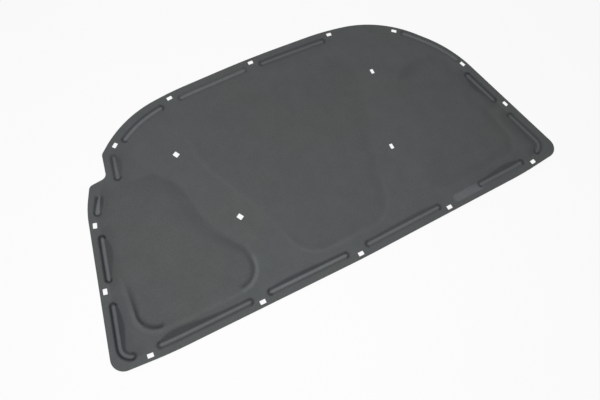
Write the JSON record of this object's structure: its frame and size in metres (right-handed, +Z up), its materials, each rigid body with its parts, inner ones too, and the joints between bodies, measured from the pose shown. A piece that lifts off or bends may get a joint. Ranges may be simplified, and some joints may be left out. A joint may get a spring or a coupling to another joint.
{
  "type": "hood insulation pad",
  "caption": "Thin moulded felt pad for the underside of a car hood: rounded front, notched side, grooves pressed along the rim, raised fields and punched clip holes.",
  "frame": {"origin": "centre of the bounding box in plan, at the surface that the pad lies on", "axes": "+X across the car along the straight rear edge, +Y towards the rounded front edge, +Z up, out of the face with the pressed grooves"},
  "size_m": [1.3, 0.652, 0.009],
  "materials": {
    "felt": "matt dark grey non-woven felt"
  },
  "bodies": {
    "root": {"insulation_pad": "felt"}
  },
  "joints": []
}
